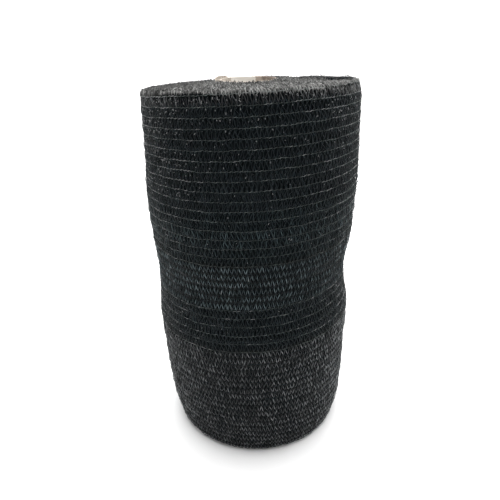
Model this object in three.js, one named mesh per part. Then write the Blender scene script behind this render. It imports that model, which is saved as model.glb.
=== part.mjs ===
// A roll of knitted silage netting, standing on end.
// The net is folded to its width and wound on a paper tube. Rows of chain stitch run round the roll,
// and between two rows the net swells into a soft rib.
// Units are millimetres, +Z is up, and the front of the roll faces -Y.
import * as THREE from "three";

// Driving dimensions
const CORE_BORE_RADIUS = 38; // a three-inch tube
const CORE_WALL = 2;
const CORE_HEIGHT = 553;
const CORE_SEGMENTS = 48;
const SEAT_GAP = 0.5; // between the tube and the innermost turn

const FOOT_HEIGHT = 2.5; // height of the lowest row of chain stitch
const FOOT_TUCK = 6.5; // how far the flat foot stays inside the lowest row
const RIM_RISE = 6; // height of the rounded upper rim above the highest row
const RIM_WIDTH = 32; // twice the width of that rounding, measured inwards

const END_SLANT = 0.018; // rise of the upper end towards +X, for each millimetre across
const REAR_DROP = 17; // how much lower the upper end lies at the rear than at the front
const REAR_DROP_FADE = 180; // depth below the top over which the drop dies out

const TURN_THICKNESS = 2.2; // the folded net, so the step where its outer end lies
const STEP_ANGLE = THREE.MathUtils.degToRad(0.4); // width of that step, as an angle
const COLUMNS = 48; // faces round the roll, the step among them

const CREASE_DEPTH = 5; // between the outer turns and the rest of the end, at the right rear
const CREASE_BEARING = THREE.MathUtils.degToRad(115); // measured from the front towards +X
const CREASE_SPREAD = THREE.MathUtils.degToRad(60); // half the angle that the crease covers

// The roll from the floor up: the radius over the ribs, how far the section has shifted towards +X,
// and the rise of the rows towards +X for each millimetre across.
const SECTIONS = [
  { height: 0, radius: 135.5, shift: 2.5, slant: 0 },
  { height: 20, radius: 141, shift: 2.5, slant: 0.002 },
  { height: 45, radius: 145.5, shift: 2, slant: 0.008 },
  { height: 95, radius: 149.5, shift: 1, slant: 0.02 },
  { height: 145, radius: 151, shift: 0, slant: 0.03 },
  { height: 197, radius: 153.5, shift: 0, slant: 0.036 },
  { height: 223, radius: 152, shift: -1.5, slant: 0.041 },
  { height: 248, radius: 148.5, shift: -2.5, slant: 0.041 },
  { height: 273, radius: 147.5, shift: -2.5, slant: 0.038 },
  { height: 299, radius: 148.5, shift: -1.5, slant: 0.041 },
  { height: 324, radius: 152.5, shift: 0, slant: 0.042 },
  { height: 350, radius: 154, shift: 0, slant: 0.04 },
  { height: 400, radius: 156.5, shift: 0, slant: 0.035 },
  { height: 450, radius: 155, shift: 1.5, slant: 0.038 },
  { height: 500, radius: 153.5, shift: 2, slant: 0.04 },
  { height: 535, radius: 153, shift: 2, slant: 0.04 },
  { height: 552.5, radius: 150.5, shift: 0, slant: 0.04 },
];

// The knit from the floor up: taut bands lie nearly flat, and slack bands are pushed together and swell.
const BANDS = [
  { rows: 18, pitch: 11.1, swell: 2.0 },
  { rows: 5, pitch: 12.9, swell: 1.0 },
  { rows: 6, pitch: 11.6, swell: 1.8 },
  { rows: 17, pitch: 12.7, swell: 0.9 },
];

const NET_BORE_RADIUS = CORE_BORE_RADIUS + CORE_WALL + SEAT_GAP;
const ROWS_TOP = FOOT_HEIGHT + BANDS.reduce((sum, band) => sum + band.rows * band.pitch, 0);
const END_HEIGHT = ROWS_TOP + RIM_RISE;
const { smoothstep, clamp, lerp, degToRad } = THREE.MathUtils;

// A column of SECTIONS at any height, as a smooth curve through the rows of the table.
function sectionAt(height, column) {
  const last = SECTIONS.length - 1;
  const found = SECTIONS.findIndex((row) => row.height > height);
  const i = found < 0 ? last - 1 : Math.max(found - 1, 0);
  const value = (k) => SECTIONS[clamp(k, 0, last)][column];
  const place = (k) => SECTIONS[clamp(k, 0, last)].height;
  const slope = (k) => (value(k + 1) - value(k - 1)) / (place(k + 1) - place(k - 1));
  const span = place(i + 1) - place(i);
  const t = clamp((height - place(i)) / span, 0, 1);
  const rise = value(i + 1) - value(i);
  const ease = t * t * (3 - 2 * t);
  const bend = span * (t * (1 - t) ** 2 * slope(i) - t * t * (1 - t) * slope(i + 1));
  return value(i) + rise * ease + bend;
}

// The closed outline of the roll's wall before it is bent:
// the flat foot, the ribs, the rim, the upper end and the bore.
function wallOutline() {
  const outline = [];
  const add = (radius, height) => outline.push(new THREE.Vector2(radius, height));
  add(NET_BORE_RADIUS, 0);
  add(sectionAt(0, "radius") - FOOT_TUCK, 0);
  let height = FOOT_HEIGHT;
  for (const { rows, pitch, swell } of BANDS) {
    for (let row = 0; row < rows; row++) {
      add(sectionAt(height, "radius") - swell, height);
      add(sectionAt(height + pitch / 2, "radius"), height + pitch / 2);
      height += pitch;
    }
  }
  const rimRadius = sectionAt(ROWS_TOP, "radius");
  add(rimRadius - BANDS.at(-1).swell, ROWS_TOP);
  for (const angle of [30, 60, 90].map(degToRad)) {
    add(rimRadius - (RIM_WIDTH / 2) * (1 - Math.cos(angle)), ROWS_TOP + RIM_RISE * Math.sin(angle));
  }
  for (const inward of [0.75, 1, 1.5]) {
    add(rimRadius - RIM_WIDTH * inward, END_HEIGHT);
  }
  add(NET_BORE_RADIUS, END_HEIGHT);
  return outline;
}

// How far the upper end sinks at the crease inside the outer turns.
function creaseAt(radius, bearing) {
  const inward = (sectionAt(ROWS_TOP, "radius") - radius) / RIM_WIDTH;
  const reach = 1 - smoothstep(Math.abs(bearing - CREASE_BEARING), CREASE_SPREAD * 0.4, CREASE_SPREAD);
  return CREASE_DEPTH * reach * Math.max(0, 1 - Math.abs(inward - 1) / 0.4);
}

// Where a point of the outline goes on the wound roll. Turn runs from 0 to 1 along the outermost turn.
function woundPoint(radius, height, bearing, turn) {
  const outer = sectionAt(height, "radius") - NET_BORE_RADIUS;
  const share = clamp((radius - NET_BORE_RADIUS) / outer, 0, 1); // 0 at the bore, 1 on the outside
  const wound = radius + TURN_THICKNESS * (turn - 0.5) * share;
  const x = wound * Math.sin(bearing) + sectionAt(height, "shift") * share;
  const y = -wound * Math.cos(bearing);
  const aboveRows = clamp((height - ROWS_TOP) / RIM_RISE, 0, 1);
  const slant = lerp(sectionAt(height, "slant"), END_SLANT, aboveRows) * x;
  const rearward = 0.5 * (1 + y / sectionAt(ROWS_TOP, "radius"));
  const drop = REAR_DROP * rearward * smoothstep(height, ROWS_TOP - REAR_DROP_FADE, ROWS_TOP);
  const crease = height === END_HEIGHT ? creaseAt(radius, bearing) : 0;
  return new THREE.Vector3(x, y, height + slant - drop - crease);
}

// The wound net: a plain turned ring, bent column by column into the roll's true form.
function netRoll() {
  const outline = wallOutline();
  outline.push(outline[0].clone());
  const geometry = new THREE.LatheGeometry(outline, COLUMNS);
  const position = geometry.getAttribute("position");
  const fullTurn = 2 * Math.PI;
  for (let column = 0; column <= COLUMNS; column++) {
    const closing = column === COLUMNS; // the last column meets the first, below the step
    const turn = closing ? 0 : column / (COLUMNS - 1);
    const bearing = closing ? -Math.PI : turn * (fullTurn - STEP_ANGLE) - Math.PI;
    outline.forEach((point, i) => {
      const place = woundPoint(point.x, point.y, bearing, turn);
      position.setXYZ(column * outline.length + i, place.x, place.y, place.z);
    });
  }
  geometry.computeVertexNormals();
  const knit = new THREE.MeshStandardMaterial({ color: 0x1d2022, roughness: 0.62, metalness: 0 });
  const mesh = new THREE.Mesh(geometry, knit);
  mesh.name = "net_roll";
  return mesh;
}

// The paper tube, open at both ends.
function coreTube() {
  const outside = CORE_BORE_RADIUS + CORE_WALL;
  const wall = [
    [CORE_BORE_RADIUS, 0],
    [outside, 0],
    [outside, CORE_HEIGHT],
    [CORE_BORE_RADIUS, CORE_HEIGHT],
    [CORE_BORE_RADIUS, 0],
  ].map(([radius, height]) => new THREE.Vector2(radius, height));
  const geometry = new THREE.LatheGeometry(wall, CORE_SEGMENTS);
  geometry.rotateX(Math.PI / 2);
  const paper = new THREE.MeshStandardMaterial({ color: 0xc4b9a7, roughness: 0.9, metalness: 0 });
  const mesh = new THREE.Mesh(geometry, paper);
  mesh.name = "core_tube";
  return mesh;
}

// The origin is on the floor, under the middle of the roll's own box.
const roll = new THREE.Group();
roll.add(netRoll(), coreTube());
const middle = new THREE.Box3().setFromObject(roll, true).getCenter(new THREE.Vector3());
roll.children.forEach((mesh) => mesh.position.set(-middle.x, -middle.y, 0));

export default roll;
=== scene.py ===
# %% [markdown]
# # A roll of knitted silage netting
# Silage netting is knitted from flat black tape. Thin rows of chain stitch run along its length, and the tape is
# laid in zigzags from one row to the next. Here the net is folded, wound on a paper tube and stood on end.
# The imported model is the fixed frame, so it is loaded first, and its box is kept to compare sizes at the end.

# %% Load the frame
import math
from functools import partial

import bpy
import numpy as np
from mathutils import Matrix, Vector


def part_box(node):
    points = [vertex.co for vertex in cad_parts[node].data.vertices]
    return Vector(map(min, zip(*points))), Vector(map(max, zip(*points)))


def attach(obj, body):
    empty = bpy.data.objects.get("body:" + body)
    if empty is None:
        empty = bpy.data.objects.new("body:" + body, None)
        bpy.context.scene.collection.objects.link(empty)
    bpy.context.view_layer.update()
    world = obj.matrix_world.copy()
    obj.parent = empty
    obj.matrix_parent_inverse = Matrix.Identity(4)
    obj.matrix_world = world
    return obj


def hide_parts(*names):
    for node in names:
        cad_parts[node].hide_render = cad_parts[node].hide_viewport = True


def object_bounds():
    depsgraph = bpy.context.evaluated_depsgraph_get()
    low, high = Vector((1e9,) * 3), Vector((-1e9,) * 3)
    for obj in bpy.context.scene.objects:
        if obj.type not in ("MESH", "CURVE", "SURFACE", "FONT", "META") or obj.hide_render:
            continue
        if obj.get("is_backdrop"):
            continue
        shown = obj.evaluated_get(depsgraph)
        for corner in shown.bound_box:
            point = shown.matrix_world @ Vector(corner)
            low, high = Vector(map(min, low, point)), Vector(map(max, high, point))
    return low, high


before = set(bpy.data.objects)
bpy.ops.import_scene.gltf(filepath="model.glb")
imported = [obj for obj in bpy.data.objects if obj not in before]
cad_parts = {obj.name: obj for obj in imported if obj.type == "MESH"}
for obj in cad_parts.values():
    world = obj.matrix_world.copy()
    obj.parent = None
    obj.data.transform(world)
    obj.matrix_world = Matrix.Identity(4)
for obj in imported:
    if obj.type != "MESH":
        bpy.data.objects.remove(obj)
cad_low, cad_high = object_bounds()
core_low, core_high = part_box("core_tube")
axis_x, axis_y = [(core_low[i] + core_high[i]) / 2 for i in (0, 1)]
MM = 0.001
print("solids:", sorted(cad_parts), "core axis at", round(axis_x / MM, 2), round(axis_y / MM, 2), "mm")

# %% [markdown]
# ## The camera
# The photographer stood close and held the lens just above the upper end, looking down, so the roll narrows towards
# the floor. The place, tilt and lens below were worked out from the way the stitch rows sag and spread in the picture.
# One matrix turns the camera: first a small roll about its own view, then the look down, then its place.

# %% Camera
def link(obj):
    bpy.context.collection.objects.link(obj)
    return obj


EYE = Vector((axis_x - 3.8 * MM, axis_y - 726.0 * MM, 620.6 * MM))
LOOK_DOWN, ROLL = math.radians(24.4), math.radians(1.43)
camera_lens = bpy.data.cameras.new("camera")
camera_lens.sensor_width, camera_lens.lens = 36.0, 35.55
camera = link(bpy.data.objects.new("camera", camera_lens))
camera.matrix_world = (Matrix.Translation(EYE) @ Matrix.Rotation(math.pi / 2 - LOOK_DOWN, 4, "X")
                       @ Matrix.Rotation(-ROLL, 4, "Z"))
bpy.context.scene.camera = camera
print("camera", round((EYE - Vector((0, 0, cad_high.z / 2))).length, 3), "m from the roll's middle")

# %% [markdown]
# ## Building with nodes
# Materials and knit are both node trees. A small class adds a node, sets its inputs and links its sockets. A second one
# starts a material, with every even value on its shader.

# %% Node helpers
class Nodes:
    """A node tree being built. Each input is a socket or a plain value."""

    def __init__(self, tree):
        self.tree = tree

    def put(self, socket, value):
        if isinstance(value, bpy.types.NodeSocket):
            self.tree.links.new(value, socket)
        else:
            socket.default_value = value

    def node(self, kind, inputs=None, **settings):
        made = self.tree.nodes.new(kind)
        for label, value in settings.items():
            setattr(made, label, value)
        for label, value in (inputs or {}).items():
            self.put(made.inputs[label], value)
        return made

    def first(self, kind, inputs=None, **settings):
        return self.node(kind, inputs, **settings).outputs[0]

    def math(self, operation, a, b=0.0, c=0.0):
        return self.first("ShaderNodeMath", {0: a, 1: b, 2: c}, operation=operation)

    def times(self, a, b):
        return self.math("MULTIPLY", a, b)


class Finish(Nodes):
    def __init__(self, name, **even):
        self.material = bpy.data.materials.new(name)
        self.material.use_nodes = True
        super().__init__(self.material.node_tree)
        self.shader = self.tree.nodes["Principled BSDF"].inputs
        for label, value in even.items():
            self.put(self.shader[label.replace("_", " ")], value)

    def attribute(self, name):
        return self.node("ShaderNodeAttribute", attribute_name=name).outputs["Fac"]

    def ramp(self, source, *stops):
        """A colour ramp driven by a socket. Each stop is (position, colour)."""
        made = self.node("ShaderNodeValToRGB", {"Fac": source})
        elements = made.color_ramp.elements
        while len(elements) < len(stops):
            elements.new(0.5)
        for element, (position, colour) in zip(elements, stops):
            element.position, element.color = position, (*colour, 1)
        return made.outputs["Color"]

    def bump(self, height, strength, depth):
        made = self.node("ShaderNodeBump", {"Height": height, "Strength": strength, "Distance": depth})
        self.put(self.shader["Normal"], made.outputs["Normal"])


print("node helpers ready")

# %% [markdown]
# ## The studio
# Black tape is read by what it reflects, so the stage matters. A pale floor that curves up into a wall all round gives
# it bright edges and a bright lower half. The main light hangs overhead, a little behind the roll, so the upper end is
# bright and the front stays dark. Floor and wall are one turned bowl, marked as stage and not as a piece.

# %% Floor and wall
def loft(name, grid, wrap_rows=False, wrap_columns=True):
    """A mesh object from a grid of points, one row of points for each ring. A tube gets its two caps."""
    rows, columns = grid.shape[:2]
    r, c = np.meshgrid(np.arange(rows - (not wrap_rows)), np.arange(columns - (not wrap_columns)), indexing="ij")
    corner = lambda i, j: ((i % rows) * columns + j % columns).ravel()
    faces = np.stack([corner(r, c), corner(r, c + 1), corner(r + 1, c + 1), corner(r + 1, c)], -1).tolist()
    if wrap_rows and not wrap_columns:
        first = [i * columns for i in range(rows)]
        faces += [first, [i + columns - 1 for i in reversed(first)]]
    mesh = bpy.data.meshes.new(name)
    mesh.from_pydata(grid.reshape(-1, 3).tolist(), [], faces)
    mesh.shade_smooth()
    return link(bpy.data.objects.new(name, mesh))


BOWL_FLOOR, BOWL_BEND, BOWL_TOP = 2.4, 1.0, 2.6  # metres: the flat floor's radius, the bend's and the wall's height
bend = [(BOWL_FLOOR + BOWL_BEND * math.sin(a), BOWL_BEND * (1 - math.cos(a))) for a in np.linspace(0, math.pi / 2, 13)]
bowl = np.array([(0.001, 0.0), (0.8, 0.0)] + bend + [(BOWL_FLOOR + BOWL_BEND, BOWL_TOP)])
around = np.linspace(0, 2 * math.pi, 96, endpoint=False)
bowl_grid = np.stack([bowl[:, None, 0] * np.sin(around), bowl[:, None, 0] * np.cos(around),
                      np.repeat(bowl[:, 1:], len(around), axis=1)], -1)
studio = loft("studio", bowl_grid)
paint = Finish("studio_pale", Base_Color=(0.86, 0.86, 0.86, 1), Roughness=0.9, Specular_IOR_Level=0.1)
studio.data.materials.append(paint.material)
studio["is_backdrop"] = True
print("studio bowl of", len(studio.data.polygons), "faces")

# %% Lights
def softbox(name, place, aim, size, power):
    lamp = bpy.data.lights.new(name, "AREA")
    lamp.shape, lamp.size, lamp.size_y, lamp.energy = "RECTANGLE", size[0], size[1], power
    obj = link(bpy.data.objects.new(name, lamp))
    obj.location = place
    obj.rotation_euler = (Vector(aim) - Vector(place)).to_track_quat("-Z", "Y").to_euler()


softbox("overhead", (0.1, 0.3, 2.5), (0.0, 0.15, 0.0), (2.8, 2.4), 145)
softbox("wall_wash", (0.0, 1.2, 3.0), (0.0, 3.4, 0.9), (4.0, 1.0), 110)
world = bpy.data.worlds.new("room")
world.use_nodes = True
background = world.node_tree.nodes["Background"].inputs
background["Color"].default_value, background["Strength"].default_value = (1, 1, 1, 1), 0.04
bpy.context.scene.world = world
bpy.context.scene.view_settings.view_transform = "Standard"

# %% [markdown]
# ## The form of the roll
# The wound net isn't a plain cylinder. It has a waist, it leans, its rows climb to one side and its upper end drops
# towards the rear. A short table of sections holds this, and one function bends any point of a plain ring to where it
# lies on the roll. Everything that follows is laid out with that function.

# %% Sections and bands
SECTIONS = np.array([
    # height, radius, shift to the right, climb of the rows to the right for each millimetre across
    (0, 135.5, 2.5, 0), (20, 141, 2.5, 0.002), (45, 145.5, 2, 0.008), (95, 149.5, 1, 0.02),
    (145, 151, 0, 0.03), (197, 153.5, 0, 0.036), (223, 152, -1.5, 0.041), (248, 148.5, -2.5, 0.041),
    (273, 147.5, -2.5, 0.038), (299, 148.5, -1.5, 0.041), (324, 152.5, 0, 0.042), (350, 154, 0, 0.04),
    (400, 156.5, 0, 0.035), (450, 155, 1.5, 0.038), (500, 153.5, 2, 0.04), (535, 153, 2, 0.04),
    (552.5, 150.5, 0, 0.04)])
RADIUS, SHIFT, CLIMB = 1, 2, 3
FOOT_HEIGHT, FOOT_TUCK = 2.5, 6.5
RIM_RISE, RIM_WIDTH = 6.0, 32.0
END_SLANT, REAR_DROP, REAR_DROP_FADE = 0.018, 17.0, 180.0
BORE, TURN_THICKNESS, STEP_ANGLE = 40.5, 2.2, math.radians(0.4)
MEAN_RADIUS = 153.0  # turns a length along a row into an angle
BANDS = [(18, 11.1, 1), (5, 12.9, 0), (6, 11.6, 1), (17, 12.7, 0)]  # rows, their pitch, and 1 where the knit is slack

row_pitch = np.concatenate([np.full(n, pitch) for n, pitch, _ in BANDS])
row_slack = np.concatenate([np.full(n, slack) for n, _, slack in BANDS])
chain_height = FOOT_HEIGHT + np.concatenate([[0], np.cumsum(row_pitch)])
ROWS = len(row_pitch)
ROWS_TOP = chain_height[-1]
END_HEIGHT = ROWS_TOP + RIM_RISE
print(ROWS, "rows of net, the highest chain stitch", round(ROWS_TOP, 1), "mm above the floor")

# %% A point on the wound roll
def smooth(x, low, high):
    t = np.clip((x - low) / (high - low), 0, 1)
    return t * t * (3 - 2 * t)


def section(height, column):
    """A column of SECTIONS at any height, on a smooth curve through the table's rows."""
    place, value = SECTIONS[:, 0], SECTIONS[:, column]
    wide = np.pad(SECTIONS, ((1, 1), (0, 0)), mode="edge")
    slope = (wide[2:, column] - wide[:-2, column]) / (wide[2:, 0] - wide[:-2, 0])
    i = np.clip(np.searchsorted(place, height, side="right") - 1, 0, len(place) - 2)
    span = place[i + 1] - place[i]
    t = np.clip((height - place[i]) / span, 0, 1)
    bend = span * (t * (1 - t) ** 2 * slope[i] - t * t * (1 - t) * slope[i + 1])
    return value[i] + (value[i + 1] - value[i]) * t * t * (3 - 2 * t) + bend


RIM_RADIUS = float(section(ROWS_TOP, RADIUS))
LIP_RISE, GAP_DEPTH, DIP_DEPTH = 3.0, 3.6, 4.4
LEFT_SAG, REAR_SAG = 2.2, 3.4


def near(bearing, middle, full, none):
    """1 within one angle of a bearing, and 0 past a wider one. All in degrees, but for the bearing."""
    return 1 - smooth(np.abs(np.degrees(bearing) - middle), full, none)


def lip_at(bearing):
    """1 at the right rear, where the outermost turns stand away from the rest, and 0 elsewhere."""
    return near(bearing, 118, 15, 45)


def lip_rise(radius, bearing):
    """How far those turns stand above the rest of the rim."""
    return LIP_RISE * lip_at(bearing) * (1 - smooth(RIM_RADIUS - radius, 0.12 * RIM_WIDTH, 0.17 * RIM_WIDTH))


def gap_at(radius, bearing):
    """1 in the gap inside those turns, and 0 elsewhere."""
    inward = (RIM_RADIUS - radius) / RIM_WIDTH
    return near(bearing, 102, 10, 26) * np.interp(inward, (0.14, 0.2, 0.36, 0.6), (0, 1, 0.8, 0))


def crease(radius, bearing):
    """How far the end sinks in that gap, and in a wide dip beside it."""
    inward = (RIM_RADIUS - radius) / RIM_WIDTH
    dip = near(bearing, 86, 16, 42) * np.interp(inward, (0.14, 0.3, 0.8, 1.9), (0, 1, 0.9, 0))
    return GAP_DEPTH * gap_at(radius, bearing) + DIP_DEPTH * dip


def rim_sag(radius, height, bearing):
    """How far the rim hangs at the left and the right rear."""
    away = lambda place, width: np.exp(-((np.degrees(bearing) - place) / width) ** 2)
    sag = LEFT_SAG * away(-95, 30) + REAR_SAG * away(115, 28)
    return sag * smooth(radius, 40, 110) * smooth(height, ROWS_TOP - 40, ROWS_TOP)


def wound(radius, height, bearing):
    """Where a point of a plain ring goes on the roll, in metres. Bearing is 0 at the front and grows to the right."""
    radius, height, bearing = np.broadcast_arrays(*[np.asarray(v, float) for v in (radius, height, bearing)])
    above = np.clip((height - ROWS_TOP) / RIM_RISE, 0, 1)
    inward = np.clip((RIM_RADIUS - radius) / (0.7 * RIM_WIDTH), 0, 1)
    radius = radius + 0.4 * RIM_WIDTH * inward * (1 - inward) * lip_at(bearing) * above
    share = np.clip((radius - BORE) / (section(height, RADIUS) - BORE), 0, 1)
    full = radius + TURN_THICKNESS * (bearing / (2 * np.pi)) * share
    x = full * np.sin(bearing) + section(height, SHIFT) * share
    y = -full * np.cos(bearing)
    slant = (section(height, CLIMB) * (1 - above) + END_SLANT * above) * x
    drop = REAR_DROP * 0.5 * (1 + y / RIM_RADIUS) * smooth(height, ROWS_TOP - REAR_DROP_FADE, ROWS_TOP)
    sunk = (crease(radius, bearing) - lip_rise(radius, bearing)) * smooth(above, 0.3, 0.7)
    sunk += rim_sag(radius, height, bearing)
    return np.stack([axis_x + x * MM, axis_y + y * MM, (height + slant - drop - sunk) * MM], -1)


WAIST = 273
print("front of the waist at", wound(section(WAIST, RADIUS), WAIST, 0).round(4).tolist())

# %% [markdown]
# ## Finishes of the net
# Black polyethylene tape is nearly black inside, but its surface is slick, so what the eye sees is mostly gloss. Each
# length of tape has its own grey, stored on the mesh as an attribute called tone. Copies of the one tape have their
# own greys, painted light and shade for where they lie, and the top tone is a painted glint. The chain stitch is a
# thinner, paler monofilament.

# %% Tape and chain finishes
TONES = (0, 0.4, 0.8, 1)


def tape_finish(name, tint, roughness, gloss, *greys):
    """Dark tape at tone 0, with a near-white painted glint at tone 1. The greys are its brightness at the four tones.
    """
    t = Finish(name, Roughness=roughness, Specular_IOR_Level=gloss, Specular_Tint=(*tint, 1))
    stops = [(tone, [grey * c for c in (tint if tone < 1 else (1, 1, 1))]) for tone, grey in zip(TONES, greys)]
    t.put(t.shader["Base Color"], t.ramp(t.attribute("tone"), *stops))
    return t.material


COOL, DIM_COOL, DEEP_COOL, PLAIN = (0.74, 0.93, 1.0), (0.74, 0.95, 1.0), (0.66, 0.88, 1.0), (0.94, 0.98, 1.0)
GREY, GREEN_GREY, EASED_COOL = (1.0, 1.0, 0.97), (0.86, 1.0, 0.95), (0.68, 0.95, 1.0)
# Copies of one black tape, their greys painting light and shade: end, rim and top row paler as painted light from
# overhead, the slack foot and waist and the eased rows paler in part as painted light on their swollen tape, and deep
# darker than the slack tape over it as painted shade.
TAPES = {  # tint, roughness, gloss, and the greys
    "taut": (COOL, 0.34, 0.2, 0.003, 0.008, 0.022, 0.35),
    "eased": (EASED_COOL, 0.34, 0.2, 0.002, 0.015, 0.085, 0.35),
    "top": (PLAIN, 0.36, 0.22, 0.006, 0.05, 0.16, 0.35),
    "waist": (DIM_COOL, 0.34, 0.21, 0.002, 0.04, 0.23, 0.35),
    "foot": (PLAIN, 0.3, 0.27, 0.002, 0.064, 0.28, 0.34),
    "under": (DEEP_COOL, 0.36, 0.21, 0.003, 0.014, 0.035, 0.06),
    "deep": (PLAIN, 0.42, 0.12, 0.002, 0.012, 0.03, 0.05),
    "end": (GREY, 0.45, 0.12, 0.008, 0.09, 0.28, 0.42),
    "rim": (GREY, 0.45, 0.14, 0.012, 0.12, 0.33, 0.45),
}
tape = {name: tape_finish(name + "_tape", *values) for name, values in TAPES.items()}
chain_thread = tape_finish("chain_thread", GREEN_GREY, 0.38, 0.35, 0.028, 0.045, 0.12, 0.25)
print("finishes:", [m.name for m in (*tape.values(), chain_thread)])

# %% [markdown]
# ## The dark turns beneath
# Between the tapes of the outermost turns the inner ones show as a dark ground, near black as painted shade between
# the tapes. It is one closed skin a little under the knit, laid out ring by ring. Its attributes row and course let the
# finish draw the zigzags of deeper turns. Deep paints shade into the gap in the end and, where it is negative, paints
# light on the lip of the standing turns. On both ends, where every turn shows its edge, the rows are as narrow as the
# turns.

# %% Inner turns
SINK, RIM_SINK, END_SINK = 2.4, 1.4, 3.0  # how far the ground lies under the rows, the rim and the end
RIM_GROUND = RIM_RADIUS - 0.6 * SINK
FOOT_CLEAR = 0.4  # how far it stays off the floor
TURN_PITCH = 2.4  # from one turn's edge to the next, on the ends
COURSE = 6.0  # length of one zigzag of tape along the row


def ground_rings():
    """The ground's rings from the bore's foot, up the outside and over the end: radius, height, row, how much lower."""
    foot = section(0, RADIUS) - FOOT_TUCK - 1.5
    rings = [(BORE, FOOT_CLEAR, -(foot - BORE) / TURN_PITCH, 0), (foot, FOOT_CLEAR, 0.0, 0)]
    for k, pitch in enumerate(row_pitch):
        for part in (0.0, 0.5):
            height = chain_height[k] + part * pitch
            rings.append((section(height, RADIUS) - SINK, height, k + part, 0))
    for inward in (0.0, 0.05, 0.1, 0.15, 0.2, 0.25, 0.3, 0.36, 0.43, 0.5):
        angle = math.acos(1 - 2 * inward)
        rise = math.sin(angle)
        rings.append((RIM_GROUND - RIM_WIDTH * inward, ROWS_TOP + RIM_RISE * rise, ROWS + angle, RIM_SINK * rise))
    for inward in (0.6, 0.7, 0.85, 1.15, 1.5, 2.0, 2.8, (RIM_RADIUS - BORE) / RIM_WIDTH):
        row = ROWS + 1.6 + (inward - 0.5) * RIM_WIDTH / TURN_PITCH
        rings.append((RIM_RADIUS - RIM_WIDTH * inward, END_HEIGHT, row, END_SINK))
    return np.array(rings)


def give(obj, **values):
    """Stores one number for each point of a mesh, under each name."""
    for label, numbers in values.items():
        stored = obj.data.attributes.new(label, "FLOAT", "POINT").data
        stored.foreach_set("value", np.asarray(numbers, np.float32).ravel())


ring_radius, ring_height, ring_row, ring_sink = np.split(ground_rings(), 4, axis=1)
bearings = np.linspace(-np.pi, np.pi - STEP_ANGLE, 160)
standing = np.interp(RIM_GROUND - ring_radius, (0, 1.6, 3.2, 4.8), (0, 1, 0.7, 0)) * (ring_row > ROWS)
standing = standing * lip_at(bearings)
lift = np.maximum(ROWS_TOP + 0.85 * RIM_RISE - ring_height, 0)
ground_grid = wound(ring_radius, ring_height + lift * standing, bearings)
ground_grid[:, :, 2] -= ring_sink * (1 - 0.8 * standing) * MM
ground_grid[:2, :, 2] = FOOT_CLEAR * MM
ground = loft("inner_turns", ground_grid, wrap_rows=True)
full_courses = np.broadcast_to(bearings * MEAN_RADIUS / COURSE, ground_grid.shape[:2])
# Painted shade and light: deep is the crease's depth, which darkens the ground, less the standing turns, which makes
# their lip paler.
in_crease = crease(ring_radius, bearings) / 7.0 * (ring_row > ROWS + 0.5)
give(ground, row=np.repeat(ring_row, len(bearings)), course=full_courses, deep=in_crease - standing)
print("ground of", len(ground.data.polygons), "faces")

# %% Ground finish
def ground_finish():
    t = Finish("inner_net", Roughness=0.7, Specular_IOR_Level=0.06, Specular_Tint=(*DEEP_COOL, 1))
    row = t.attribute("row")
    along = t.math("PINGPONG", t.attribute("course"), 0.5)
    gap = t.math("SUBTRACT", t.times(along, 2.0), t.math("FRACT", row))
    gap = t.times(t.math("ABSOLUTE", gap), 2.6)
    tape = t.math("SUBTRACT", 1.0, t.math("SMOOTH_MIN", gap, 1.0, 0.1))
    # Past the rim the ground is paler, painted light from overhead on the upper end. Deep takes away painted shade in
    # the crease and, negative on the standing turns' lip, lifts it to the palest stop as painted light. The darkest
    # stops, darker than any tape, are painted shade in the gaps between tapes.
    past_rim = t.math("MULTIPLY_ADD", row, 2.5, -2.5 * (ROWS + 0.4))
    end = t.math("MINIMUM", t.math("MAXIMUM", past_rim, 0.0), 1.0)
    shade = t.math("MULTIPLY_ADD", end, 0.5, t.times(tape, 0.4))
    shade = t.math("SUBTRACT", shade, t.times(t.attribute("deep"), 0.4))
    colour = t.ramp(shade, (0.0, (0.0006, 0.001, 0.0013)), (0.4, (0.004, 0.006, 0.0075)), (0.9, (0.03, 0.031, 0.031)),
                    (1.0, (0.11, 0.11, 0.107)))
    t.put(t.shader["Base Color"], colour)
    t.bump(tape, 0.6, 0.8 * MM)
    return t.material


ground.data.materials.append(ground_finish())
print("ground finish:", ground.data.materials[0].name)

# %% [markdown]
# ## Paths for the knit
# Each row of net is drawn first as one open line, halfway between two rows of chain stitch, running once round the
# roll. The line carries what the knit needs: up reaches to the chain above, out points away from the roll, belly says
# how far the tape swells, start where its zigzag begins, and shade how bright it is: painted light and shade at the
# sides and in the end's gap, with some random clumps and row tones. A mesh of edges can carry such values, and
# geometry nodes turn it into curves.

# %% Row paths
PATH_STEPS = 300
TAUT_SINK, SLACK_SINK, UNDER_SINK = 0.7, 0.9, 1.7  # how far the middle of the tape lies under the ribs' outside
TAUT_BELLY, SLACK_BELLY, UNDER_BELLY = 0.8, 1.2, 0.4
chance = np.random.default_rng(11)
lap = chance.uniform(2.0, 6.5, ROWS + 1) / MEAN_RADIUS  # the cut outer end of the net is ragged, and lies past the step


def path_mesh(name, lines, **values):
    """A mesh of open lines. Each line is an array of points, and each value has one entry for each point."""
    mesh = bpy.data.meshes.new(name)
    starts = np.cumsum([0] + [len(line) for line in lines])
    firsts = np.concatenate([np.arange(a, b - 1) for a, b in zip(starts, starts[1:])])
    mesh.from_pydata(np.concatenate(lines).tolist(), np.stack([firsts, firsts + 1], -1).tolist(), [])
    values.setdefault("shade", [np.ones(len(line)) for line in lines])
    for label, parts in values.items():
        whole = np.concatenate(parts).astype(np.float32)
        kind, slot_name = ("FLOAT_VECTOR", "vector") if whole.ndim == 2 else ("FLOAT", "value")
        mesh.attributes.new(label, kind, "POINT").data.foreach_set(slot_name, whole.ravel())
    return mesh


def once_round(k):
    return np.linspace(-np.pi + 0.004, np.pi + lap[k], PATH_STEPS)


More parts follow.
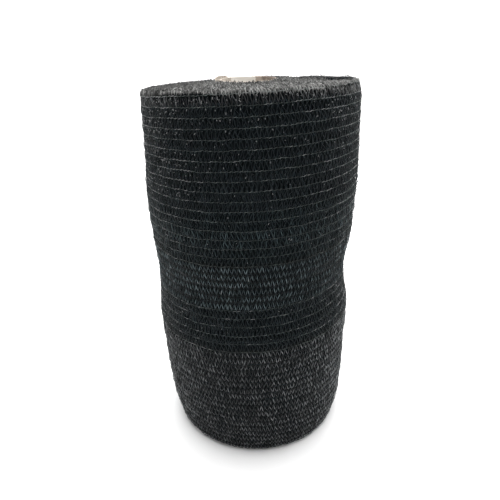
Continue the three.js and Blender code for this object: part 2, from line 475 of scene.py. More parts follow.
def ring(radius_off, height, k):
    """One ring at a height on the roll, set in or out from the ribs, ending at the cut end of line k."""
    return wound(section(height, RADIUS) + radius_off, height, once_round(k))


def painted_side_light(x, left, right, near_by=40 * MM, far=120 * MM):
    """Painted light and shade for each point: 1 in the middle, and its own value towards the left and the right."""
    return np.interp(x, (-far, -near_by, near_by, far), (left, 1, 1, right))


def zigzag_paths(name, bounds, bellies, left=1.0, right=1.0, clumps=None):
    """Lines halfway between pairs of rings, with the vectors and values that the tape tree reads."""
    paths = []
    for (lower, upper), belly, clump in zip(bounds, bellies, clumps or [1.0] * len(bounds)):
        middle, up = (lower + upper) / 2, (upper - lower) / 2
        out = np.cross(np.gradient(middle, axis=0), up)
        even = np.ones(len(middle))
        paths.append((middle, up, out / np.linalg.norm(out, axis=1, keepdims=True), even * belly * MM,
                      even * chance.integers(0, 6) / 6, painted_side_light(middle[:, 0], left, right) * clump))
    lines, *values = zip(*paths)
    return path_mesh(name, lines, **dict(zip(("up", "out", "belly", "start", "shade"), values)))


def row_paths(name, rows, **shades):
    sink = [SLACK_SINK if row_slack[k] else TAUT_SINK for k in rows]
    bounds = [(ring(-s, chain_height[k], k), ring(-s, chain_height[k + 1], k)) for s, k in zip(sink, rows)]
    return zigzag_paths(name, bounds, [SLACK_BELLY if row_slack[k] else TAUT_BELLY for k in rows], **shades)


def under_paths(name, rows):
    halves = chain_height[:-1] + row_pitch / 2
    bounds = [(ring(-UNDER_SINK, halves[k], k), ring(-UNDER_SINK, halves[k + 1], k)) for k in rows if k + 1 < ROWS]
    return zigzag_paths(name, bounds, [UNDER_BELLY] * len(bounds))


print("paths of", PATH_STEPS, "points, once round the roll")

# %% [markdown]
# ## The laid tape, with geometry nodes
# The tree resamples a row's line to a few points for each zigzag, swings the points up and down between the two
# chains, lets the middle of each leg swell outwards, and sweeps a flat section along the result. Noise and seeded
# random values make it wander and twist as real tape does. Each leg gets its own tone, its ends can be darkened as
# painted shade where they dip between swollen rows, the path's shade adds painted light and shade, and a few points
# get a painted glint.

# %% Geometry trees
class Tree(Nodes):
    """A geometry node tree. Its sizes are group inputs, read by name."""

    def __init__(self, name, **sizes):
        super().__init__(bpy.data.node_groups.new(name, "GeometryNodeTree"))

        def socket(label, kind, way="INPUT"):
            return self.tree.interface.new_socket(label, in_out=way, socket_type="NodeSocket" + kind)

        socket("Paths", "Geometry")
        for label, value in sizes.items():
            made = socket(label, "Material" if value is None else "Int" if isinstance(value, int) else "Float")
            if value is not None:
                made.default_value = value
        socket("Mesh", "Geometry", "OUTPUT")
        self.entry = self.node("NodeGroupInput").outputs
        self.exit = self.node("NodeGroupOutput").inputs

    def add(self, a, b):
        return self.node("ShaderNodeVectorMath", {0: a, 1: b}, operation="ADD").outputs["Vector"]

    def scaled(self, a, by):
        return self.node("ShaderNodeVectorMath", {0: a, "Scale": by}, operation="SCALE").outputs["Vector"]

    def carried(self, name, data_type="FLOAT"):
        return self.node("GeometryNodeInputNamedAttribute", {"Name": name}, data_type=data_type).outputs["Attribute"]

    def chance(self, low, high, number, seed):
        inputs = {2: low, 3: high, "ID": number, "Seed": seed}
        return self.node("FunctionNodeRandomValue", inputs, data_type="FLOAT").outputs[1]

    def noise(self, scale):
        place = self.first("GeometryNodeInputPosition")
        return self.node("ShaderNodeTexNoise", {"Vector": place, "Scale": scale, "Detail": 1.0}).outputs

    def drift(self, scale, amount):
        """A push in any direction that neighbours share. Amount is its usual length."""
        centred = self.add(self.noise(scale)["Color"], (-0.5, -0.5, -0.5))
        return self.scaled(centred, self.times(amount, 4.0))

    def unrest(self):
        """A slow wander and a finer ruffle, as strong as the sizes say."""
        return self.add(self.drift(55.0, self.entry["Wander"]), self.drift(210.0, self.entry["Ruffle"]))

    def patchy(self, number, seed, patches, lowest=0.0):
        """A chance value for each number, lower or higher in patches of some centimetres."""
        patch = self.math("MULTIPLY_ADD", self.math("SUBTRACT", self.noise(16.0)[0], 0.5), patches, 0.95)
        return self.times(self.chance(lowest, 1.0, number, seed), patch)

    def curves(self, swings):
        """The paths as curves, with some steps for each of their swings."""
        curve = self.first("GeometryNodeMeshToCurve", {"Mesh": self.entry["Paths"]})
        count = self.math("MULTIPLY_ADD", self.entry[swings], self.entry["Steps"], 1.0)
        return self.first("GeometryNodeResampleCurve", {"Curve": curve, "Count": count}, mode="COUNT")

    def moved(self, curve, push):
        return self.first("GeometryNodeSetPosition", {"Geometry": curve, "Offset": push})

    def close(self, curve, tone, **sweep):
        """Stores the tone, sweeps a section along the curve and paints the mesh."""
        kept = {"Geometry": curve, "Name": "tone", "Value": tone}
        toned = self.first("GeometryNodeStoreNamedAttribute", kept)
        inputs = {label.replace("_", " "): value for label, value in sweep.items()}
        mesh = self.first("GeometryNodeCurveToMesh", {"Curve": toned, "Fill Caps": True, **inputs})
        mesh = self.first("GeometryNodeSetShadeSmooth", {"Geometry": mesh, "Shade Smooth": True})
        mesh = self.first("GeometryNodeRealizeInstances", {"Geometry": mesh})
        mesh = self.first("GeometryNodeSetMaterial", {"Geometry": mesh, "Material": self.entry["Finish"]})
        self.put(self.exit[0], mesh)


def triangles(mesh):
    return sum(len(face.vertices) - 2 for face in mesh.polygons)


def grow(tree, name, paths, **sizes):
    """Runs a tree on a mesh of paths and keeps what comes out as a plain mesh."""
    obj = link(bpy.data.objects.new(name, paths))
    modifier = obj.modifiers.new("knit", "NODES")
    modifier.node_group = tree.tree
    for item in tree.tree.interface.items_tree:
        if item.in_out == "INPUT" and item.name in sizes:
            modifier[item.identifier] = sizes[item.name]
    result = bpy.data.meshes.new_from_object(obj.evaluated_get(bpy.context.evaluated_depsgraph_get()))
    obj.modifiers.clear()
    obj.data = result
    result.name = name
    print(name, triangles(result), "triangles")
    return obj


print("tree helper ready")

# %% The tree for laid tape
TAPE_THICKNESS = 0.45 * MM


def tape_tree():
    t = Tree("laid_tape", Zigzags=160, Steps=6, Width=1.5 * MM, Wander=0.8 * MM, Ruffle=0.35 * MM, Jitter=0.2 * MM,
             Twist=0.5, Dim=1.0, Alternate=0.5, Faintest=0.0, Mottle=0.45, Tips=0.0, Patches=0.6, Glints=0.02,
             Seed=1, Finish=None)
    size = t.entry
    seed = lambda offset: t.math("ADD", size["Seed"], offset)
    curve = t.curves("Zigzags")
    along = t.node("GeometryNodeSplineParameter").outputs["Index"]
    course = t.math("ADD", t.math("DIVIDE", along, size["Steps"]), t.carried("start"))
    phase = t.math("FRACT", course)
    swing = t.math("MULTIPLY_ADD", t.math("ABSOLUTE", t.math("SUBTRACT", phase, 0.5)), 4.0, -1.0)
    number = t.first("GeometryNodeInputIndex")
    line_start = t.math("SUBTRACT", number, along)
    leg = t.math("ADD", line_start, t.math("FLOOR", t.math("MULTIPLY_ADD", course, 2.0, 0.01)))
    out, up = t.carried("out", "FLOAT_VECTOR"), t.carried("up", "FLOAT_VECTOR")
    swell = t.math("SUBTRACT", 1.0, t.times(swing, swing))
    lively = t.times(t.carried("belly"), t.chance(0.5, 1.4, leg, size["Seed"]))
    curve = t.moved(curve, t.add(t.scaled(up, swing), t.scaled(out, t.times(swell, lively))))
    shake = {0: (-1, -1, -1), 1: (1, 1, 1), "Seed": size["Seed"]}
    shake = t.first("FunctionNodeRandomValue", shake, data_type="FLOAT_VECTOR")
    curve = t.moved(curve, t.add(t.unrest(), t.scaled(shake, size["Jitter"])))
    curve = t.first("GeometryNodeSetCurveNormal", {"Curve": curve, "Normal": out}, mode="FREE")
    turn = t.chance(t.times(size["Twist"], -1.0), size["Twist"], leg, seed(5.0))
    curve = t.first("GeometryNodeSetCurveTilt", {"Curve": curve, "Tilt": turn})
    # Painted glints: a few points, not high on a leg, get a tone near 1, the finish's near-white grey.
    rare = t.math("LESS_THAN", t.chance(0.0, 1.0, number, seed(21.0)), size["Glints"])
    glint = t.times(rare, t.chance(0.82, 1.0, number, seed(25.0)))
    second = t.times(t.math("GREATER_THAN", phase, 0.49), size["Alternate"])
    bright = t.patchy(leg, seed(9.0), size["Patches"], size["Faintest"])
    tone = t.times(bright, t.math("SUBTRACT", 1.0, second))
    # Painted shade: this darkens the ends of each leg, where it dips into the groove between rows.
    tone = t.times(tone, t.math("MULTIPLY_ADD", t.math("SUBTRACT", swell, 1.0), size["Tips"], 1.0))
    lowest, highest = t.math("SUBTRACT", 0.9, size["Mottle"]), t.math("ADD", 0.9, size["Mottle"])
    tone = t.times(tone, t.chance(lowest, highest, number, seed(13.0)))
    # The path's shade: painted light and shade at the sides and in the end's gap.
    tone = t.times(tone, t.carried("shade"))
    tone = t.math("MINIMUM", t.times(tone, size["Dim"]), 0.8)
    tone = t.math("MAXIMUM", tone, t.times(glint, t.math("LESS_THAN", swing, 0.4)))
    half = t.times(size["Width"], 0.5)
    kite = {"Width": TAPE_THICKNESS, "Bottom Height": half, "Top Height": half}
    flat = t.first("GeometryNodeCurvePrimitiveQuadrilateral", kite, mode="KITE")
    t.close(curve, tone, Profile_Curve=flat)
    return t


laid_tape = tape_tree()
lay_tape = partial(grow, laid_tape)
print("tape tree of", len(laid_tape.tree.nodes), "nodes")

# %% [markdown]
# The outermost turn is five pieces. The slack rows at the foot and the waist are narrow tape whose bright greys are in
# part painted light. The taut rows are dark, the ones just above the waist are half slack and paler, and the highest
# row has paler greys of its own, painted light where it turns towards the rim.

# %% The outermost turn
foot_rows, waist_rows, eased_rows = range(0, 18), range(23, 29), range(29, 35)
EASED_SHADES = [0.6, 0.75, 1.4, 1.25, 0.6, 0.6]
taut_rows = [k for k in range(ROWS) if not row_slack[k]]
full_rows = [k for k in taut_rows[:-1] if k not in eased_rows]
SLACK = dict(Width=0.95 * MM, Twist=1.1, Patches=0.3)
TAUT = dict(Wander=1.0 * MM, Ruffle=1.4 * MM, Jitter=0.45 * MM, Alternate=0.3, Glints=0.0)
EVEN = dict(**TAUT, Width=1.1 * MM, Patches=0.3)
# The left and right values paint light and shade at the sides: the foot paler at the right, the waist darker at both
# sides, the highest row paler at both.
knit = [
    lay_tape("tape_foot_band", row_paths("foot", foot_rows, right=1.3), **SLACK, Wander=1.2 * MM, Ruffle=0.45 * MM,
             Jitter=0.25 * MM, Alternate=0.35, Faintest=0.3, Mottle=0.5, Tips=0.55, Seed=1, Finish=tape["foot"]),
    lay_tape("tape_waist_band", row_paths("waist", waist_rows, left=0.85, right=0.7), **SLACK, Alternate=0.2,
             Faintest=0.5, Mottle=0.4, Tips=0.6, Seed=2, Finish=tape["waist"]),
    lay_tape("tape_taut_bands", row_paths("taut", full_rows), **EVEN, Seed=3, Finish=tape["taut"]),
    lay_tape("tape_eased_rows", row_paths("eased", eased_rows, clumps=EASED_SHADES), **EVEN, Seed=17,
             Finish=tape["eased"]),
    lay_tape("tape_top_row", row_paths("top", taut_rows[-1:], left=1.8, right=2.8), **TAUT, Width=1.2 * MM, Dim=0.6,
             Seed=16, Finish=tape["top"]),
]

# %% [markdown]
# One turn further in, the same net lies a little lower and out of step, and fills the gaps with dimmer tape. In the
# slack bands its darker greys are painted shade under the outer turn.

# %% The turn beneath
knit += [
    lay_tape("under_slack_bands", under_paths("under_slack", [*foot_rows, *waist_rows]), Steps=4, Dim=0.6,
             Wander=1.0 * MM, Glints=0.0, Seed=11, Finish=tape["deep"]),
    lay_tape("under_taut_bands", under_paths("under_taut", taut_rows), Steps=4, Glints=0.0, Seed=12,
             Finish=tape["under"]),
]

# %% [markdown]
# ## The chain stitch
# A thin monofilament is knitted into a chain that holds the tape. Where the net is pulled tight the chains lie on top
# and show as fine lines, paler at the sides as a painted sheen, and faint above the waist. Where it is pushed together
# they sink between the swollen rows. A second tree sweeps a small section along each chain's line, swings it from
# stitch to stitch and thickens it at every knot.

# %% The tree for chain stitch
THREAD_SIDES = 3


def chain_tree():
    t = Tree("chain_stitch", Stitches=160, Steps=4, Thickness=0.36 * MM, Swing=0.45 * MM, Wander=0.8 * MM,
             Ruffle=0.25 * MM, Dim=1.0, Seed=4, Finish=None)
    size = t.entry
    curve = t.curves("Stitches")
    step = t.math("DIVIDE", t.node("GeometryNodeSplineParameter").outputs["Index"], size["Steps"])
    angle = t.times(step, 2 * math.pi)
    swing = t.scaled((0.0, 0.0, 1.0), t.times(t.math("SINE", angle), size["Swing"]))
    curve = t.moved(curve, t.add(swing, t.unrest()))
    stitch = t.math("FLOOR", t.math("DIVIDE", t.first("GeometryNodeInputIndex"), size["Steps"]))
    # The path's shade raises the chains' grey at the sides, a painted sheen.
    tone = t.times(t.times(t.patchy(stitch, size["Seed"], 0.6), size["Dim"]), t.carried("shade"))
    knot = t.math("MULTIPLY_ADD", t.math("COSINE", angle), 0.55, 1.0)
    circle = {"Resolution": THREAD_SIDES, "Radius": size["Thickness"]}
    thread = t.first("GeometryNodeCurvePrimitiveCircle", circle)
    t.close(curve, tone, Profile_Curve=thread, Scale=knot)
    return t


chain_stitch = chain_tree()
sweep_thread = partial(grow, chain_stitch)
print("chain tree of", len(chain_stitch.tree.nodes), "nodes")

# %% Rows of chain stitch
# Painted sheen: how much paler the chains are at the left and the right sides.
SHEEN_LEFT, SHEEN_RIGHT = 1.55, 1.5
FAINT_LINES, FAINT_SHADES = (24, 31, 38), (0.95, 0.72, 1.0)
TOP_CHAIN_OUT = 0.9  # the highest chain stands out, as nothing covers it


def chain_paths(name, lines, proud):
    chains = [ring(proud + TOP_CHAIN_OUT * (k == ROWS), chain_height[k], k) for k in lines]
    faint = np.interp(lines, FAINT_LINES, FAINT_SHADES)
    shades = [painted_side_light(chain[:, 0], SHEEN_LEFT, SHEEN_RIGHT) * f for chain, f in zip(chains, faint)]
    return path_mesh(name, chains, shade=shades)


beside = np.pad(row_slack, 1, mode="edge")
sunk_lines = [k for k in range(ROWS + 1) if beside[k] and beside[k + 1]]
proud_lines = [k for k in range(ROWS + 1) if k not in sunk_lines]
knit += [
    sweep_thread("chain_taut_bands", chain_paths("proud", proud_lines, 0.1), Finish=chain_thread),
    sweep_thread("chain_slack_bands", chain_paths("sunk", sunk_lines, -SLACK_SINK), Stitches=80, Steps=2,
                 Finish=tape["under"]),
]

# %% [markdown]
# Here and there a tape lies on edge between two chains and shows as a small bright fleck, a painted glint: many of
# them reach the finish's near-white top grey. A fleck is shorter than the steps of the tape tree, so each is a short
# line of its own, swept by the chain tree. They are densest near the top and at the left.

# %% Flecks on the taut rows
def fleck(k, draw, bearing):
    """A short line on the outside of row k, slanted as the tape is."""
    ends = np.array([-0.5, 0.5])
    height = chain_height[k] + draw.uniform(0.35, 0.8) * row_pitch[k] + ends * draw.uniform(0.9, 2.0)
    return wound(section(height, RADIUS) + 0.25, height, bearing + ends * draw.normal(0, 0.5) / MEAN_RADIUS)


FLECKS, LEFT_FLECKS = 1000, 320
often = np.interp(taut_rows, (23, 36, 42, 45), (0.2, 0.35, 1.0, 3.0))
fleck_rows = chance.choice(taut_rows, FLECKS, p=often / often.sum())
flecks = [fleck(k, chance, chance.uniform(-np.pi, np.pi)) for k in fleck_rows]
glitter = np.random.default_rng(31)
left_rows = glitter.choice(range(36, ROWS), LEFT_FLECKS)
flecks += [fleck(k, glitter, math.radians(glitter.normal(-58, 18))) for k in left_rows]
knit.append(sweep_thread("tape_flecks", path_mesh("flecks", flecks), Stitches=1, Steps=2, Thickness=0.45 * MM,
                         Swing=0.0, Dim=1.6, Seed=14, Finish=tape["taut"]))

# %% [markdown]
# ## The two ends
# At the upper end the outermost turn bends over the rim in loops. At the left they stop above the highest chain and
# leave it bare, and at the right some flop over and hang down. The lowest row tucks under the foot in the same way.

# %% Paths over the rim and the foot
LIP_REACH, LIP_INSIDE = 0.11, 0.185  # top and foot of the standing turns' loops, as shares of the rim's width


def clumped(bearing):
    """A shade for each point of the rim, whose loops lie in paler and darker clumps, most of all at the left."""
    wave = np.interp(bearing, np.linspace(-np.pi, np.pi + 0.1, 130), np.random.default_rng(21).normal(0, 1, 130))
    return np.clip(1 + 0.8 * smooth(-np.sin(bearing), 0.25, 0.75) * wave, 0.03, 2.0)


def bare_chain(bearing):
    """1 at the left, where the rim's loops stop above the highest chain and leave it bare, and 0 elsewhere."""
    return smooth(-np.sin(bearing), 0.15, 0.45) * (1 - 0.8 * smooth(-np.sin(bearing), 0.6, 0.95))


def rim_paths(name, inward, height, belly, inside=0.0):
    """Loops from the highest chain over the rim. Inside is 1 where they cover the inner face of the standing turns."""
    bearing = once_round(ROWS)
    lip = lip_at(bearing)
    reach = inward * (1 - lip) + LIP_REACH * lip
    upper = wound(RIM_RADIUS - RIM_WIDTH * reach, height - 0.8 * lip, bearing)
    inner = (inside * lip)[:, None]
    low = ROWS_TOP + 0.9 * bare_chain(bearing)
    foot = wound(section(low, RADIUS) - TAUT_SINK - 6 * (inward - 0.3), low, bearing)
    lower = foot * (1 - inner) + wound(RIM_RADIUS - LIP_INSIDE * RIM_WIDTH, END_HEIGHT, bearing) * inner
    bellies = [belly * (1 - 1.4 * inside * lip)]
    # left=0.75 paints shade on the loops at the left of the rim.
    return zigzag_paths(name, [(lower, upper)], bellies, left=0.75, clumps=[clumped(bearing)])


def teeth_paths():
    """Short loops on the outside of the rim. They hide the highest chain, but for the left."""
    bearing = once_round(ROWS)
    low = ROWS_TOP - 0.8 - 2.4 * near(bearing, 17, 17, 42) + 2.4 * bare_chain(bearing)
    upper = wound(RIM_RADIUS - 0.07 * RIM_WIDTH, ROWS_TOP + 0.75 * RIM_RISE, bearing)
    lower = wound(section(low, RADIUS), low, bearing)
    # Painted shade at the left and painted light at the right of the rim's teeth.
    return zigzag_paths("teeth", [(lower, upper)], [1.0], left=0.7, right=1.1, clumps=[clumped(bearing)])


def fringe_paths():
    """Loops that flop over the rim at the right and hang down over the highest row."""
    bearing = np.linspace(math.radians(5), math.radians(130), 140)
    begins = smooth(bearing, math.radians(25), math.radians(50))
    ends = smooth(bearing, math.radians(105), math.radians(130))
    low = ROWS_TOP - (2.5 + 9 * begins * (1 - ends))
    lower = wound(section(low, RADIUS) + 0.2, low, bearing)
    upper = wound(RIM_RADIUS - (0.2 - 0.1 * lip_at(bearing)) * RIM_WIDTH, END_HEIGHT - 1.5, bearing)
    # The fringe is a little darker at the right, painted shade.
    return zigzag_paths("fringe", [(lower, upper)], [1.4], right=0.9)


def tuck_paths(height=1.2):
    tuck = wound(section(0, RADIUS) - FOOT_TUCK + 1, height, once_round(0))
    tuck[:, 2] = height * MM
    return zigzag_paths("tuck", [(tuck, ring(-SLACK_SINK, chain_height[0], 0))], [UNDER_BELLY])


print("rim at", round(END_HEIGHT, 1), "mm, before it is bent")

# %% [markdown]
# Inside the rim every turn of the wound net shows its edge, a frill of small tape loops. One long spiral carries them
# from the core to the rim, leaning now inwards and now outwards, and the tape tree sweeps it. Beside the core the loops
# make room for a ply of paper that has come loose.

# %% The spiral of wound edges
FLAP_FROM, FLAP_TO = math.radians(-150), math.radians(-62)  # where the tube's outer ply has come away
LOOP_HALF = 2.6  # half the height of a loop


def flap_bulge(bearing):
    """How far the loose ply stands off the tube, from 0 to 1."""
    return np.sin(np.pi * np.clip((bearing - FLAP_FROM) / (FLAP_TO - FLAP_FROM), 0, 1)) ** 1.5


def spiral_paths(inner=BORE + 1.5, outer=RIM_RADIUS - 2.5):
    turns = (outer - inner) / TURN_PITCH
    angle = np.linspace(0, 2 * np.pi * turns, int(turns * 240))
    radius = inner + TURN_PITCH * angle / (2 * np.pi)
    bearing = (angle + np.pi) % (2 * np.pi) - np.pi
    lean = np.clip(np.convolve(chance.normal(0, 1, len(angle)), np.ones(3) / 3 ** 0.5, "same"), -1.35, 1.35)
    lift = 0.9 * np.sin(angle * 0.37) * np.sin(angle * 0.093 + 1.0) + chance.normal(0, 0.3, len(angle))
    near_core = 1 - smooth(radius, 46, 60)
    to_right = smooth(np.sin(bearing), 0.6, 0.95)
    lean = lean * (1 - 0.3 * smooth(-np.sin(bearing), 0.2, 0.8)) - 0.9 * near_core * to_right
    lift += near_core * (2.6 * smooth(np.cos(bearing), -0.2, 0.6) + 2.4 * to_right)
    lift -= 5.0 * smooth(flap_bulge(bearing) * 9 + BORE + 1 - radius, 0, 2)
    lift += 2.0 * near(bearing, 168, 8, 22) * smooth(radius, 80, 110)
    inward = (RIM_RADIUS - radius) / RIM_WIDTH
    in_gap, on_end = gap_at(radius, bearing), smooth(inward, 0.45, 0.65)
    lift -= 0.2 * in_gap + 8.0 * lip_at(bearing) * (inward < 0.17)
    rim_fall = RIM_RISE * (1 - np.sqrt(1 - np.clip(1 - 2 * inward, 0, 1) ** 2))
    points = wound(radius, END_HEIGHT, bearing)
    points[:, 2] += (lift - rim_fall - 0.6 - 1.6 * on_end) * MM
    across = np.stack([np.sin(bearing), -np.cos(bearing), np.zeros(len(angle))], -1)
    upright = np.array([0.0, 0.0, 1.0])
    half = LOOP_HALF * (0.65 + 0.35 * on_end) * (1 - 0.5 * in_gap)
    cos, sin = np.cos(lean)[:, None], np.sin(lean)[:, None]
    up, out = (cos * upright + sin * across) * half[:, None] * MM, cos * across - sin * upright
    flat = np.full(len(angle), 0.5 * MM)
    # Painted shade: the end's loops are darker towards the left and in the gap inside the standing turns.
    shade = painted_side_light(points[:, 0], 0.4, 0.95) * (1 - 0.35 * in_gap)
    length = turns * np.pi * (inner + outer)
    return path_mesh("spiral", [points], up=[up], out=[out], belly=[flat], start=[0 * flat], shade=[shade]), length


spiral, spiral_length = spiral_paths()
print("edge of the net in the end:", round(spiral_length / 1000, 1), "m")

# %% Loops of both ends
LOOP_LENGTH = 5.4  # along the spiral, for each zigzag
RIM = dict(Twist=0.9, Ruffle=1.2 * MM, Jitter=0.5 * MM, Finish=tape["rim"])
LOOPS = dict(**RIM, Alternate=0.45, Faintest=0.3, Patches=0.3)
knit += [
    lay_tape("foot_tuck", tuck_paths(), Twist=0.3, Wander=0.0, Seed=5, Finish=tape["foot"]),
    lay_tape("rim_loops", rim_paths("rim", 0.24, END_HEIGHT - 1.2, 2.0), **LOOPS, Zigzags=260, Width=0.85 * MM,
             Dim=1.15, Seed=6),
    lay_tape("rim_loops_within", rim_paths("rim_within", 0.42, END_HEIGHT - 0.2, 2.6, 1.0), **LOOPS, Zigzags=310,
             Width=0.9 * MM, Dim=0.9, Seed=9),
    lay_tape("rim_teeth", teeth_paths(), Zigzags=250, Width=1.05 * MM, Twist=0.6, Ruffle=1.0 * MM, Jitter=0.4 * MM,
             Dim=1.3, Faintest=0.25, Patches=0.3, Seed=15, Finish=tape["rim"]),
    lay_tape("rim_fringe", fringe_paths(), **RIM, Zigzags=80, Dim=1.1, Faintest=0.2, Seed=10),
    lay_tape("end_loops", spiral, Zigzags=int(spiral_length / LOOP_LENGTH), Steps=4, Width=1.4 * MM, Twist=1.2,
             Jitter=0.5 * MM, Wander=0.5 * MM, Alternate=0.4, Faintest=0.3, Mottle=0.3, Dim=0.75, Patches=0.2, Seed=7,
             Finish=tape["end"]),
]

# %% [markdown]
# ## Loose hairs
# A knitted net sheds a few fibres. Short curls of thread stand off the surface here and there, with a small tuft at the
# left edge near the top. Each is a short line that starts on the roll, swept thinly by the chain tree.

# %% Hairs
def hair(bearing, height, length):
    t = np.linspace(0, 1, 9)[:, None]
    root = wound(section(height, RADIUS) - 0.6, height, bearing)
    outward = np.array([math.sin(bearing), -math.cos(bearing), 0.0])
    sideways = np.array([math.cos(bearing), math.sin(bearing), 0.0])
    along = sideways * chance.normal(0, 0.7) + np.array([0, 0, chance.normal(0, 0.7)])
    curl = np.cross(along, outward) * chance.normal(0, 0.5)
    return root + MM * length * (outward * 0.45 * np.sin(2.4 * t) + along * t + curl * t * t)


HAIRS, TUFT = 90, 14
hairs = [hair(chance.uniform(-np.pi, np.pi), chance.uniform(20, 545), chance.uniform(3, 8)) for _ in range(HAIRS)]
hairs += [hair(math.radians(chance.normal(-97, 1.5)), chance.normal(541, 1.2), chance.uniform(2.5, 5))
          for _ in range(TUFT)]
knit.append(sweep_thread("loose_hairs", path_mesh("hairs", hairs), Stitches=3, Thickness=0.11 * MM, Swing=0.3 * MM,
                         Wander=0.0, Ruffle=0.3 * MM, Seed=8, Finish=chain_thread))

# %% [markdown]
# ## The paper core
# The tube is wound from strips of paper. Its cut end shows the plies, and its inside has a helical seam. At the right
# rear a patch of the pale inner ply is torn off, so the brown one shows, and the left is scuffed. The mesh is turned
# ring by ring and carries two attributes: torn is the distance into a torn patch, seam the distance from the seam.

# %% Tube
TUBE_IN, TUBE_OUT = 38.0, 40.0
TUBE_TOP = core_high.z / MM + 0.8  # a little over the solid, for the fibres of its cut edge
plies = [(39.95, -0.5), (39.8, -0.1), (39.5, -0.3), (39.2, 0.0), (38.9, -0.3), (38.6, -0.05), (38.3, -0.3),
         (38.1, -0.6)]
depths = [*np.arange(0, 27, 1.0), *np.arange(30, 540, 15)]
tube_rings = np.array([(TUBE_OUT, h) for h in (0, 250, 500, TUBE_TOP - 1.5)] + [(r, TUBE_TOP + z) for r, z in plies]
                      + [(TUBE_IN, TUBE_TOP - 1.2 - d) for d in depths] + [(TUBE_IN, 0)])
tube_bearings = np.linspace(-np.pi, np.pi, 180, endpoint=False)


def ragged(bearing, seed, waves=14):
    """A wavy line round the tube, about one unit high and low, the same at both ends of the turn."""
    rough = np.random.default_rng(seed)
    total = np.zeros(len(bearing))
    for n in range(waves):
        total += rough.normal(0, 1 / (0.6 + 0.12 * n)) * np.sin((n + 2) * 2 * bearing + rough.uniform(0, 6.3))
    return total / 3


def paper_points(radius, height, bearing):
    """Points round the core's axis, in metres."""
    x, y = axis_x + radius * np.sin(bearing) * MM, axis_y - radius * np.cos(bearing) * MM
    return np.stack(np.broadcast_arrays(x, y, height * MM), -1)


ring_radius, ring_height = tube_rings[:, :1], tube_rings[:, 1:]
fray = 0.35 * ragged(tube_bearings, 5) * smooth(ring_height, TUBE_TOP - 6, TUBE_TOP)
tube = loft("paper_tube", paper_points(ring_radius, ring_height - np.maximum(fray, 0), tube_bearings), wrap_rows=True)
print("tube", round(TUBE_TOP), "mm long,", len(tube.data.polygons), "faces")

# %% Torn patch, scuff and seam
TEAR_FROM, TEAR_TO, TEAR_DEPTH = math.radians(38), math.radians(165), 16.3
SCUFF_AT, SCUFF_HALF, SCUFF_DEPTH = math.radians(-119), math.radians(20), 6
WHOLE, SCUFFED = -16, 0.4  # how far into a tear whole paper lies, and scuffed paper at most
SEAM_PITCH, STRIP_WIDTH, NO_SEAM = 210, 180, 90
depth = TUBE_TOP - ring_height
inside = ring_radius < TUBE_IN + 0.2
cut_edge = ~inside & (ring_radius < TUBE_OUT)
tear_edge = np.minimum(TEAR_TO - tube_bearings, tube_bearings - TEAR_FROM) * TUBE_IN
tear = np.minimum(tear_edge + 0.6 * ragged(tube_bearings, 6), TEAR_DEPTH + 1.5 * ragged(tube_bearings, 7) - depth)
scuff = (SCUFF_HALF - np.abs(tube_bearings - SCUFF_AT)) * TUBE_IN
scuff = np.minimum(scuff, SCUFF_DEPTH + 2 * ragged(tube_bearings, 9) - depth)
tear = np.clip(np.maximum(tear, np.minimum(scuff, SCUFFED)), WHOLE, -WHOLE)
on_edge = np.where(cut_edge, np.clip(tear_edge, 2.5, 14), WHOLE)
winding = (tube_bearings / (2 * np.pi) + depth / SEAM_PITCH) % 1
from_seam = (0.5 - np.abs(winding - 0.5)) * STRIP_WIDTH
give(tube, torn=np.where(inside, tear, on_edge), seam=np.where(inside, from_seam, NO_SEAM))
print("torn patch", TEAR_DEPTH, "mm deep")

# %% Loose ply
ply_bearing = np.linspace(FLAP_FROM, FLAP_TO, 64)
ply_height = np.linspace(-9.0, 0.0, 8)
stand = flap_bulge(ply_bearing)
ply_top = TUBE_TOP + 1.0 * stand ** 0.7 + 1.1 * ragged(ply_bearing, 8)


def ply_side(thickness):
    lean = (ply_height[:, None] + 4) * 0.22 * stand
    return paper_points(TUBE_OUT + 0.1 + 7.2 * stand + lean + thickness, ply_top + ply_height[:, None], ply_bearing)


flap = loft("loose_ply", np.concatenate([ply_side(0.25), ply_side(-0.25)[::-1]]), wrap_rows=True, wrap_columns=False)
even = np.ones(len(flap.data.vertices))
give(flap, torn=SCUFFED * even, seam=NO_SEAM * even)
print("loose ply stands", round(float(ply_top.max() - TUBE_TOP), 1), "mm above the tube")

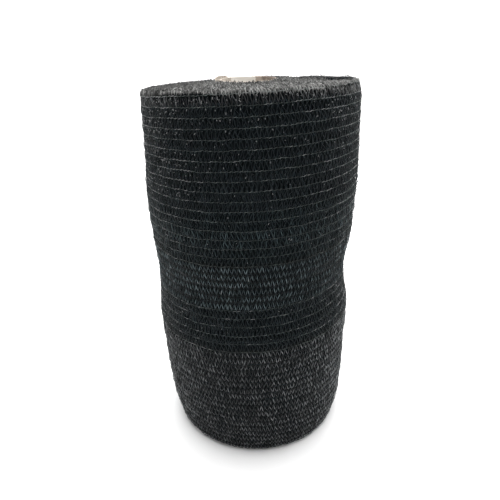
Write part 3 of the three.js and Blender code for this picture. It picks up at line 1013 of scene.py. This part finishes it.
# %% Paper finish
def paper_finish():
    t = Finish("core_paper", Roughness=0.88, Specular_IOR_Level=0.2)
    place = t.node("ShaderNodeTexCoord").outputs["Object"]

    def grain(scale, detail):
        return t.first("ShaderNodeTexNoise", {"Vector": place, "Scale": scale, "Detail": detail})

    def tinted(colour, by):
        mixed = {0: 1.0, 6: colour, 7: by}
        return t.node("ShaderNodeMix", mixed, data_type="RGBA", blend_type="MULTIPLY").outputs[2]

    fibres = grain(900.0, 3.0)
    edge = t.math("ADD", t.attribute("torn"), t.math("MULTIPLY_ADD", fibres, 2.0, -1.0))
    colour = t.ramp(t.math("MULTIPLY_ADD", edge, 0.03, 0.5), (0.488, (0.78, 0.755, 0.715)), (0.5, (0.81, 0.78, 0.735)),
                    (0.509, (0.42, 0.37, 0.32)), (0.78, (0.38, 0.33, 0.285)), (0.9, (0.2, 0.165, 0.14)))
    seam = t.ramp(t.times(t.attribute("seam"), 0.1), (0.06, (0.62, 0.58, 0.54)), (0.14, (1, 1, 1)))
    mottle = t.ramp(grain(120.0, 4.0), (0.3, (0.9, 0.88, 0.85)), (0.7, (1, 1, 1)))
    t.put(t.shader["Base Color"], tinted(tinted(colour, seam), mottle))
    t.bump(fibres, 0.35, 0.3 * MM)
    return t.material


paper = paper_finish()
for piece in (tube, flap):
    piece.data.materials.append(paper)
print("paper finish:", paper.name)

# %% [markdown]
# ## Joining the frame
# Every piece rides on the roll's one body. The pieces of net stand for the net's solid and the two paper pieces
# stand for the tube, whose solids are hidden.

# %% Pieces and frame
for group, node, slot in (([ground, *knit], "net_roll", "black_net"), ([tube, flap], "core_tube", "grey_paper")):
    for piece in group:
        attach(piece, "root")
        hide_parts(node)
pieces = [ground, *knit, tube, flap]
print(len(pieces), "pieces ride on the roll,", sum(triangles(p.data) for p in pieces), "triangles in all")

# %% Sizes and finish
see_low, see_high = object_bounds()
for label, low, high in (("CAD", cad_low, cad_high), ("visual", see_low, see_high)):
    print(label, "box", [round(v, 4) for v in (*low, *high)])
